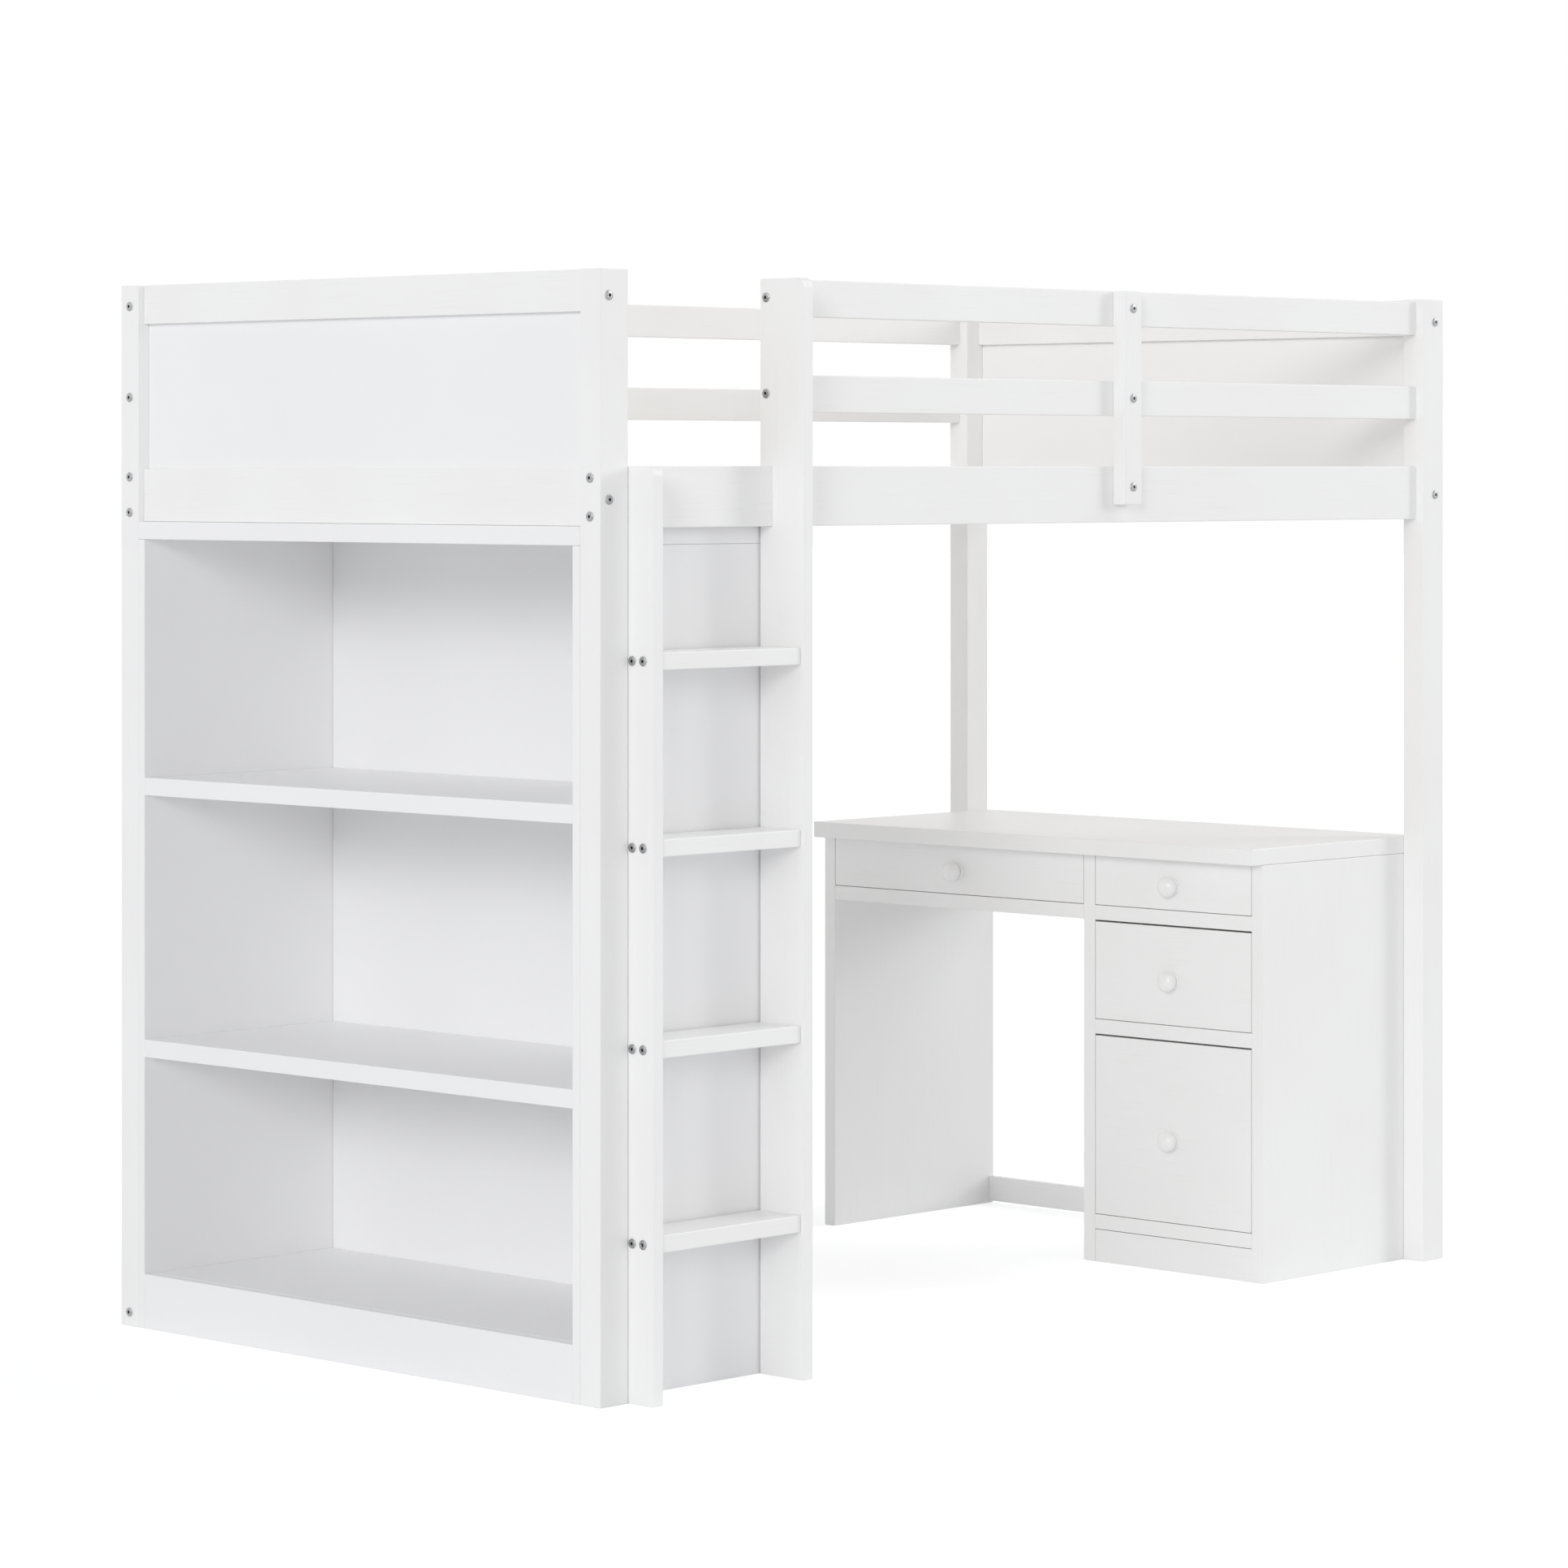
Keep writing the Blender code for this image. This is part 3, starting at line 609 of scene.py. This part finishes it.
def drawer_box(drawer):
    """Four walls and a thin floor let into them: the sides run the full length."""
    low, high = (np.array(corner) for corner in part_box(f"{drawer}_tray"))
    inner_y = (low[1] + BOX_WALL, high[1] - BOX_WALL)
    boards = {
        "side_right": (low, (high[0], inner_y[0], high[2])),
        "side_left": ((low[0], inner_y[1], low[2]), high),
        "inner_front": ((low[0], inner_y[0], low[2]), (low[0] + BOX_WALL, inner_y[1], high[2])),
        "inner_back": ((high[0] - BOX_WALL, inner_y[0], low[2]), (high[0], inner_y[1], high[2])),
        "floor": ((low[0] + BOX_WALL, inner_y[0], low[2] + BOX_FLOOR_RISE),
                  (high[0] - BOX_WALL, inner_y[1], low[2] + BOX_FLOOR_RISE + BOX_FLOOR_T)),
    }
    for part, (start, end) in boards.items():
        grid = board_grid(start, end, BOX_EDGE)
        piece = piece_from_grid(f"{drawer}_{part}", grid, [LINING], drawer)
        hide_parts(f"{drawer}_tray")


# ---------------------------------------------------------------- slats

def slats():
    """Loose pine slats across the bed, held apart by two straps that are stapled to each."""
    low, high = (np.array(corner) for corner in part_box("slat_roll"))
    step = (high[0] - low[0] - SLAT_W) / (SLAT_COUNT - 1)
    starts = low[0] + step * np.arange(SLAT_COUNT)
    top = low[2] + SLAT_T
    for number, start in enumerate(starts, 1):
        grid = board_grid((start, low[1], low[2]), (start + SLAT_W, high[1], top), SLAT_ROUND)
        piece = piece_from_grid(f"slat_{number:02d}", grid, [PINE[1]], BED)
        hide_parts("slat_roll")
    for side, y in (("front", low[1] + STRAP_IN), ("back", high[1] - STRAP_IN)):
        strap(side, y, starts, step, top)
        staples(side, y, starts, top)


def strap(side, y, starts, step, top):
    """A flat section carried along the bed, lying on each slat and sagging a little between two."""
    stations = np.linspace(starts[0], starts[-1] + SLAT_W, SLAT_COUNT * STRAP_STEPS)
    between = ((stations - starts[0]) % step - SLAT_W) / (step - SLAT_W)
    sag = np.where(between > 0, np.sin(np.clip(between, 0, 1) * math.pi), 0) * STRAP_SAG
    section = np.array([(-1, 0), (-0.97, 1), (0.97, 1), (1, 0)]) * (STRAP_W / 2, STRAP_T)
    grid = np.zeros((len(stations), len(section), 3))
    grid[..., 0] = stations[:, None]
    grid[..., 1] = y + section[None, :, 0]
    grid[..., 2] = top + STRAP_LIFT - sag[:, None] + section[None, :, 1]
    piece = piece_from_grid(f"slat_strap_{side}", grid, [WEBBING], BED)
    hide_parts("slat_roll")


def staples(side, y, starts, top):
    """A wire bridge in the middle of each slat: a round section carried across the strap."""
    angles = np.arange(8) * math.pi / 4
    across = np.linspace(-STAPLE_W / 2, STAPLE_W / 2, 9)
    lift = STAPLE_R * 1.2 * (1 - (2 * across / STAPLE_W) ** 8)
    wires = np.zeros((len(starts), len(across), len(angles), 3))
    wires[..., 0] = (starts + SLAT_W / 2)[:, None, None] + STAPLE_R * np.cos(angles)
    wires[..., 1] = y + across[None, :, None]
    wires[..., 2] = top + STRAP_T + lift[None, :, None] - STAPLE_R / 2 + STAPLE_R * np.sin(angles)
    piece = piece_from_grid(f"slat_staples_{side}", wires, [STEEL], BED)


# ---------------------------------------------------------------- room, lights and camera

def seen_or_lit(tree, seen, lit):
    """One strength for what an eye or a reflection sees, and another for the light that it gives."""
    ray = add_node(tree, "ShaderNodeLightPath").outputs
    inputs = {0: ray["Is Camera Ray"], 1: ray["Is Glossy Ray"]}
    eye = add_node(tree, "ShaderNodeMath", inputs, operation="MAXIMUM").outputs[0]
    span = {"Value": eye, "To Min": lit, "To Max": seen}
    return add_node(tree, "ShaderNodeMapRange", span).outputs[0]


def floor():
    """A wide pale floor, seen almost as bright as the room, so that shadows on it stay faint."""
    made, tree, shader, _ = new_material("pale_floor")
    shader.inputs["Base Color"].default_value = linear("F4F5F7")
    shader.inputs["Roughness"].default_value = 1.0
    shader.inputs["Specular IOR Level"].default_value = 0.0
    shader.inputs["Emission Color"].default_value = (1, 1, 1, 1)
    tree.links.new(seen_or_lit(tree, FLOOR_GLOW, 0.0), shader.inputs["Emission Strength"])
    mesh = bpy.data.meshes.new("studio_floor")
    signs = ((-1, -1), (1, -1), (1, 1), (-1, 1))
    corners = [(x * FLOOR_HALF, y * FLOOR_HALF, -FLOOR_DROP) for x, y in signs]
    mesh.from_pydata(corners, [], [(0, 1, 2, 3)])
    mesh.materials.append(made)
    plane = bpy.data.objects.new("studio_floor", mesh)
    bpy.context.scene.collection.objects.link(plane)


def broad_light(name, turn, height, spread, strength):
    """Soft light from far away: turn is counted from the bookcase end towards the ladder side."""
    light = bpy.data.lights.new(name, "SUN")
    light.angle = math.radians(spread)
    light.energy = strength
    lamp = bpy.data.objects.new(name, light)
    bpy.context.scene.collection.objects.link(lamp)
    turn, height = math.radians(turn), math.radians(height)
    level = -math.cos(height)
    towards = Vector((math.cos(turn) * level, math.sin(turn) * level, math.sin(height)))
    lamp.rotation_euler = towards.to_track_quat("Z", "Y").to_euler()


def studio():
    """A white room's even light, and broad soft lights all round the bed."""
    world = bpy.data.worlds.new("white_studio")
    world.use_nodes = True
    background = world.node_tree.nodes["Background"]
    background.inputs["Color"].default_value = (1, 1, 1, 1)
    strength = seen_or_lit(world.node_tree, 1.0, ROOM_STRENGTH)
    world.node_tree.links.new(strength, background.inputs["Strength"])
    bpy.context.scene.world = world
    for name, light in BROAD_LIGHTS.items():
        broad_light(name, *light)
    bpy.context.scene.view_settings.view_transform = "Standard"
    bpy.context.scene.view_settings.gamma = TONE_GAMMA


def camera():
    """A long lens at the height of the bed's side rail."""
    lens = bpy.data.cameras.new("camera")
    lens.lens = LENS_MM
    lens.sensor_width = SENSOR_MM
    lens.shift_y = -SHIFT_DOWN
    holder = bpy.data.objects.new("camera", lens)
    bpy.context.scene.collection.objects.link(holder)
    holder.location = CAMERA_PLACE
    holder.rotation_euler = (math.pi / 2, 0, CAMERA_TURN - math.pi / 2)
    bpy.context.scene.camera = holder


camera()
studio()
floor()
finish_cad_nodes()
bolts()
for drawer in DRAWERS:
    knob(drawer)
    drawer_box(drawer)
slats()
